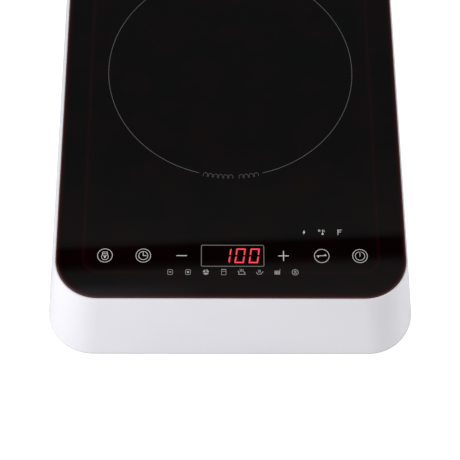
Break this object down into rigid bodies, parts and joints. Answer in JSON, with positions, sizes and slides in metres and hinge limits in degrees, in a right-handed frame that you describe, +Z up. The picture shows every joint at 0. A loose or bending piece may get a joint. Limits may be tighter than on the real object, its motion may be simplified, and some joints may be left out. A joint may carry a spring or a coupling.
{
  "type": "portable induction cooker",
  "caption": "Portable single-zone induction cooker with a black glass top, touch keys and a digital display on a white flared housing, with its coil, boards and cooling fan inside.",
  "frame": {"origin": "middle of the footprint at the underside of the feet", "axes": "+Z up out of the cooking surface, -Y towards the user at the control panel, +X to the user's right"},
  "size_m": [0.3014, 0.3846, 0.07],
  "materials": {
    "black_glass": "polished black ceramic glass",
    "silicone": "matt silicone",
    "white_plastic": "glossy white moulding",
    "cover_plastic": "fine texture",
    "rubber": "matt",
    "steel": "zinc plated",
    "black_plastic": "fine texture",
    "terminal_plastic": "moulded",
    "litz_wire": "enamelled copper litz",
    "ferrite": "sintered",
    "mica": "pressed mica",
    "spring_steel": "bright wire",
    "sensor_ceramic": "coated bead",
    "board": "green solder mask",
    "aluminium": "extruded",
    "epoxy": "moulded epoxy",
    "bright_metal": "tinned",
    "capacitor_plastic": "moulded",
    "yellow_plastic": "moulded",
    "capacitor_sleeve": "shrink sleeve",
    "copper_wire": "enamelled copper",
    "fuse_glass": "clear",
    "varistor_coating": "dipped",
    "display_face": "smoked face",
    "led": "clear",
    "brass": "sintered",
    "lead_insulation": "flexible insulation",
    "coil_sleeve": "woven glass sleeve",
    "ribbon": "flat cable"
  },
  "bodies": {
    "base": {"glass_plate": "black_glass", "glass_seal": "silicone", "upper_housing": "white_plastic", "bottom_cover": "cover_plastic", "rubber_feet": "rubber", "housing_screws": "steel", "cord_gland": "rubber", "cord_clamp": "black_plastic", "cord_clamp_screws": "steel", "mains_terminal_block": "terminal_plastic", "coil_former": "black_plastic", "coil_winding": "litz_wire", "ferrite_bars": "ferrite", "mica_sheet": "mica", "coil_springs": "spring_steel", "coil_screws": "steel", "thermistor_holder": "silicone", "thermistor": "sensor_ceramic", "main_board": "board", "main_board_screws": "steel", "heatsink": "aluminium", "power_transistor": "epoxy", "bridge_rectifier": "epoxy", "heatsink_screws": "steel", "thermal_cutout": "bright_metal", "resonant_capacitor": "capacitor_plastic", "filter_capacitor": "capacitor_plastic", "interference_capacitor": "yellow_plastic", "electrolytic_capacitors": "capacitor_sleeve", "smoothing_choke_core": "ferrite", "smoothing_choke_winding": "copper_wire", "filter_choke_core": "ferrite", "filter_choke_windings": "copper_wire", "transformer_core": "ferrite", "transformer_bobbin": "yellow_plastic", "fuse": "fuse_glass", "fuse_clips": "bright_metal", "varistor": "varistor_coating", "buzzer": "black_plastic", "integrated_circuits": "epoxy", "board_terminals": "bright_metal", "control_board": "board", "control_board_screws": "steel", "led_display": "display_face", "indicator_leds": "led", "light_guides": "black_plastic", "touch_springs": "spring_steel", "fan_frame": "black_plastic", "fan_bearing": "brass", "fan_stator": "copper_wire", "air_guide": "black_plastic", "fan_screws": "steel", "mains_leads": "lead_insulation", "coil_leads": "coil_sleeve", "fan_lead": "lead_insulation", "thermistor_lead": "lead_insulation", "ribbon_cable": "ribbon"},
    "fan_rotor": {"fan_shaft": "steel", "fan_magnet": "ferrite", "fan_impeller": "black_plastic"}
  },
  "joints": [
    {"name": "fan_spin", "type": "hinge", "parent": "base", "child": "fan_rotor", "pos_m": [-0.092, 0.012, 0.026], "axis": [0, 0, 1], "continuous": true}
  ]
}
